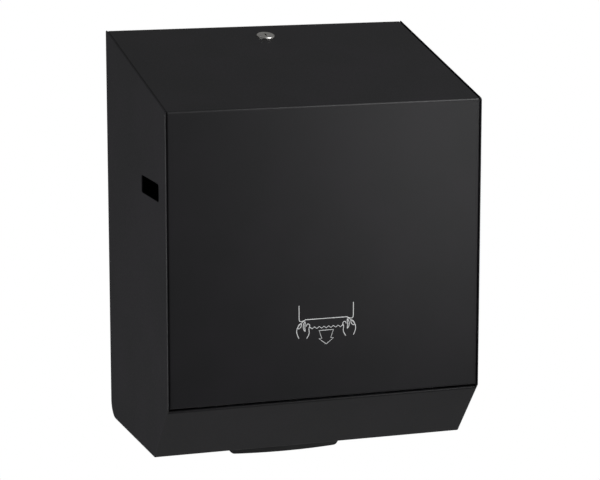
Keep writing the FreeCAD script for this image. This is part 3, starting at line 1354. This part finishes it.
def roll_bracket():
    """Plate on the back with the left arm's ear and the right arm's hinge knuckles."""
    low = ROLL_HEIGHT - BRACKET_HALF_HEIGHT
    high = ROLL_HEIGHT + BRACKET_HALF_HEIGHT
    front = -SHEET - BRACKET_THICKNESS
    bracket = block(-ARM_PIVOT_X, ARM_PIVOT_X, front, -SHEET, low, high)
    ear = block(-ARM_PIVOT_X, -ARM_OUT, -EAR_DEPTH, front, low, high)
    knuckle_inner = ARM_KNUCKLE_HALF + KNUCKLE_GAP
    knuckles = []
    for side in SIDES:
        z0, z1 = sorted((ROLL_HEIGHT + side * knuckle_inner, ROLL_HEIGHT + side * BRACKET_HALF_HEIGHT))
        knuckles.append(rod_z(ARM_PIVOT_X, ARM_PIVOT_Y, z0, z1, KNUCKLE_RADIUS))
        web_x = ARM_PIVOT_X - KNUCKLE_WEB / 2
        knuckles.append(block(web_x, web_x + KNUCKLE_WEB, ARM_PIVOT_Y, front, z0, z1))
    cuts = [rod_z(ARM_PIVOT_X, ARM_PIVOT_Y, low - PIERCE, high + PIERCE, ARM_PIN_RADIUS)]
    for side in SIDES:
        for end in SIDES:
            height = ROLL_HEIGHT + end * BRACKET_SCREW_OFFSET
            cuts.append(rod_y(side * BRACKET_SCREW_X, front - PIERCE, PIERCE, height, SCREW_RADIUS))
            cuts.append(rod(-HALF, -ARM_OUT + PIERCE, -EAR_RIVET_AT, height, RIVET_RADIUS))
    return bracket.fuse([ear] + knuckles).cut(cuts).removeSplitter()


def arm_plate(side, root_y):
    """Tapered arm from its root at the back to the roll's axis."""
    tip_round = ARM_TIP_RADIUS - ARM_TIP_FLAT / 2
    corners = [
        (root_y, ROLL_HEIGHT - ARM_ROOT_HALF, ARM_ROOT_ROUND),
        (ROLL_Y - ARM_TIP_RADIUS, ROLL_HEIGHT - ARM_TIP_RADIUS, tip_round),
        (ROLL_Y - ARM_TIP_RADIUS, ROLL_HEIGHT + ARM_TIP_RADIUS, tip_round),
        (root_y, ROLL_HEIGHT + ARM_ROOT_HALF, ARM_ROOT_ROUND),
    ]
    arm = plate(corners, side * ARM_IN, side * ARM_OUT)
    front = ROLL_Y + ARM_TIP_RADIUS + ARM_WINDOW_TIP[0]
    rear = -EAR_DEPTH - ARM_WINDOW_ROOT[0]
    window = [
        (front, ROLL_HEIGHT - ARM_WINDOW_TIP[1], ARM_WINDOW_ROUND),
        (front, ROLL_HEIGHT + ARM_WINDOW_TIP[1], ARM_WINDOW_ROUND),
        (rear, ROLL_HEIGHT + ARM_WINDOW_ROOT[1], ARM_WINDOW_ROUND),
        (rear, ROLL_HEIGHT - ARM_WINDOW_ROOT[1], ARM_WINDOW_ROUND),
    ]
    return arm.cut(plate(window, side * (ARM_IN - PIERCE), side * (ARM_OUT + PIERCE)))


def left_arm():
    """Fixed arm, riveted to the bracket's ear."""
    arm = arm_plate(-1, -SHEET - BRACKET_THICKNESS)
    cuts = [rod(-ARM_IN, -ARM_OUT, ROLL_Y, ROLL_HEIGHT, AXLE_TAIL_RADIUS)]
    for end in SIDES:
        height = ROLL_HEIGHT + end * BRACKET_SCREW_OFFSET
        cuts.append(rod(-ARM_IN, -ARM_OUT, -EAR_RIVET_AT, height, RIVET_RADIUS))
    return arm.cut(cuts)


def arm_rivets():
    rivets = []
    for end in SIDES:
        height = ROLL_HEIGHT + end * BRACKET_SCREW_OFFSET
        top = -ARM_IN + RIVET_HEAD_HEIGHT
        shank = rod(top, -ARM_PIVOT_X, -EAR_RIVET_AT, height, RIVET_RADIUS)
        head = rod(top, -ARM_IN, -EAR_RIVET_AT, height, RIVET_HEAD)
        rivets.append(shank.fuse(head).removeSplitter())
    return Part.makeCompound(rivets)


def bracket_screws():
    screws = []
    for side in SIDES:
        for end in SIDES:
            height = ROLL_HEIGHT + end * BRACKET_SCREW_OFFSET
            screws.append(wall_screw(side * BRACKET_SCREW_X, height, -SHEET - BRACKET_THICKNESS, 0))
    return Part.makeCompound(screws)


def arm_hinge_pin():
    low = ROLL_HEIGHT - BRACKET_HALF_HEIGHT
    return rod_z(ARM_PIVOT_X, ARM_PIVOT_Y, low, ROLL_HEIGHT + ARM_PIN_TOP, ARM_PIN_RADIUS)


def right_arm():
    """Arm that swings outwards to let the roll in, with the knuckle of its hinge."""
    arm = arm_plate(1, ARM_PIVOT_Y)
    z0 = ROLL_HEIGHT - ARM_KNUCKLE_HALF
    z1 = ROLL_HEIGHT + ARM_KNUCKLE_HALF
    for end in SIDES:
        z_in, z_out = sorted((ROLL_HEIGHT + end * ARM_KNUCKLE_HALF, ROLL_HEIGHT + end * BRACKET_HALF_HEIGHT))
        clear_front = ARM_PIVOT_Y - KNUCKLE_RADIUS - ARM_HINGE_CLEAR
        arm = arm.cut(block(ARM_IN - PIERCE, ARM_OUT + PIERCE, clear_front, 0, z_in, z_out))
    knuckle = rod_z(ARM_PIVOT_X, ARM_PIVOT_Y, z0, z1, KNUCKLE_RADIUS)
    bridge = block(ARM_IN, ARM_PIVOT_X, ARM_PIVOT_Y - KNUCKLE_RADIUS, ARM_PIVOT_Y, z0, z1)
    bore = rod_z(ARM_PIVOT_X, ARM_PIVOT_Y, z0, z1, ARM_PIN_RADIUS + RUNNING_FIT)
    axle_bore = rod(ARM_IN, ARM_OUT, ROLL_Y, ROLL_HEIGHT, AXLE_TAIL_RADIUS)
    return arm.fuse([knuckle, bridge]).cut([bore, axle_bore]).removeSplitter()


def roll_axle(side):
    """Stub axle riveted to an arm, on which a core hub turns."""
    axle = rod(side * ARM_IN, side * (ARM_IN - AXLE_LENGTH), ROLL_Y, ROLL_HEIGHT, AXLE_RADIUS)
    tail = rod(side * ARM_OUT, side * (ARM_IN - PIERCE), ROLL_Y, ROLL_HEIGHT, AXLE_TAIL_RADIUS)
    return axle.fuse(tail).removeSplitter()


def core_hub(side):
    """Plug that fits inside the cardboard core of the roll and turns with it."""
    face = ARM_IN - HUB_ARM_GAP
    shoulder = face - HUB_FLANGE
    nose = shoulder - HUB_PLUG_LENGTH
    flange = rod(side * face, side * shoulder, ROLL_Y, ROLL_HEIGHT, HUB_FLANGE_RADIUS)
    plug = rod(side * shoulder, side * nose, ROLL_Y, ROLL_HEIGHT, HUB_PLUG_RADIUS)
    rim = [edge for edge in plug.Edges if abs(edge.BoundBox.Center.x - side * nose) < TOUCH]
    plug = plug.makeChamfer(HUB_NOSE_CHAMFER, rim)
    pocket_end = side * (ARM_IN - AXLE_LENGTH - HUB_ARM_GAP)
    bore = rod(side * face, pocket_end, ROLL_Y, ROLL_HEIGHT, AXLE_RADIUS + HUB_FIT)
    return flange.fuse(plug).cut(bore).removeSplitter()


def arm_spring():
    """Torsion spring round the hinge pin that keeps the right arm pressed inwards."""
    low = ROLL_HEIGHT + BRACKET_HALF_HEIGHT + KNUCKLE_GAP
    high = low + ARM_COIL_HEIGHT
    coil = rod_z(ARM_PIVOT_X, ARM_PIVOT_Y, low, high, ARM_COIL_RADIUS)
    return coil.cut(rod_z(ARM_PIVOT_X, ARM_PIVOT_Y, low, high, ARM_COIL_RADIUS - SPRING_LOOP))


def make_pieces():
    """Every piece of the cabinet by name."""
    return {
        "back_and_skirt": back_and_skirt(),
        "left_side": left_side(),
        "right_side": side_panel(1),
        "hinge_pins": hinge_pins(),
        "hinge_clips": hinge_clips(),
        "lock_catch": lock_catch(),
        "catch_rivets": catch_rivets(),
        "door_panel": door_panel(),
        "lock_barrel": lock_barrel(),
        "lock_nut": lock_nut(),
        "lock_plug": lock_plug(),
        "lock_cam": lock_cam(),
        "cam_screw": cam_screw(),
        "rear_plate": rear_plate(),
        "left_frame": side_frame(-1),
        "right_frame": side_frame(1),
        "tie_rods": tie_rods(),
        "tie_rod_screws": tie_rod_screws(),
        "unit_screws": unit_screws(),
        "front_guide": front_guide(),
        "stripper_comb": stripper_comb(),
        "drum_bushes": drum_bushes(),
        "cam_discs": cam_discs(),
        "spring_posts": spring_posts(),
        "drum_shell_upper": drum_shell(1),
        "drum_shell_lower": drum_shell(-1),
        "grip_bands": grip_bands(),
        "drum_end_caps": drum_end_caps(),
        "drum_screws": drum_screws(),
        "drum_shafts": drum_shafts(),
        "crank_arm": crank_arm(),
        "crank_pin": crank_pin(),
        "hand_wheel": hand_wheel(),
        "knife_carrier": knife_carrier(),
        "knife_blade": knife_blade(),
        "knife_screws": knife_screws(),
        "cam_followers": cam_followers(),
        "pinch_blocks": pinch_blocks(),
        "pinch_shaft": pinch_shaft(),
        "pinch_sleeves": pinch_sleeves(),
        "pinch_springs": pinch_springs(),
        "clutch_pinion": clutch_pinion(),
        "sector_gear": sector_gear(),
        "feed_lever": feed_lever(),
        "lever_shaft": lever_shaft(),
        "lever_return_arm": lever_return_arm(),
        "crank_spring": crank_spring(),
        "lever_spring": lever_spring(),
        "knife_springs": knife_springs(),
        "roll_bracket": roll_bracket(),
        "left_arm": left_arm(),
        "right_arm": right_arm(),
        "arm_rivets": arm_rivets(),
        "bracket_screws": bracket_screws(),
        "arm_hinge_pin": arm_hinge_pin(),
        "arm_spring": arm_spring(),
        "left_axle": roll_axle(-1),
        "right_axle": roll_axle(1),
        "left_hub": core_hub(-1),
        "right_hub": core_hub(1),
    }


def write_pieces():
    os.makedirs("parts", exist_ok=True)
    for name, shape in make_pieces().items():
        lowered = shape.copy()
        lowered.translate(vec(0, 0, -DATUM))
        lowered.exportStep(f"parts/{name}.step")


write_pieces()
